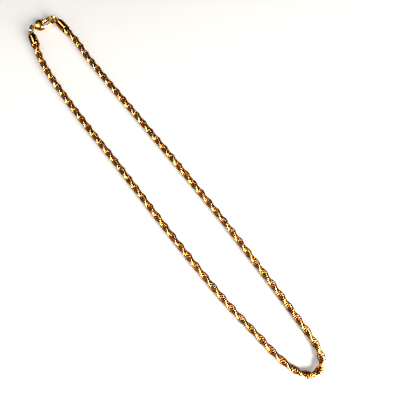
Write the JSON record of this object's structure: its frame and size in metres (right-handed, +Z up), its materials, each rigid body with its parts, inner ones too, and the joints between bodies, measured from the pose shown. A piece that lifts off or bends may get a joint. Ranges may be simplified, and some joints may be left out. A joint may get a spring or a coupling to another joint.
{
  "type": "rope chain necklace",
  "caption": "Gold-tone rope chain necklace, closed with a lobster clasp and lying as a long narrow loop on a flat surface.",
  "frame": {"origin": "middle of the laid loop, on the surface that it lies on", "axes": "+Y along the loop towards the clasp, +Z up, +X to the right seen from above with the clasp at the top"},
  "size_m": [0.0316, 0.2482, 0.0056],
  "materials": {
    "rope_gold": "gold tone, bright wire links",
    "polished_gold": "gold tone, polished"
  },
  "bodies": {
    "necklace": {"rope_chain": "rope_gold", "end_cap_left": "polished_gold", "end_cap_right": "polished_gold", "jump_ring": "polished_gold", "catch_ring": "polished_gold", "clasp_body": "polished_gold", "clasp_rivet": "polished_gold"},
    "lever": {"clasp_lever": "polished_gold"}
  },
  "joints": [
    {"name": "lever_hinge", "type": "hinge", "parent": "necklace", "child": "lever", "pos_m": [0.00366, 0.12236, 0.0015], "axis": [0, 0, -1], "range_deg": [0, 25], "stiffness_Nm_per_rad": 0.004, "springref_deg": -20.05}
  ]
}
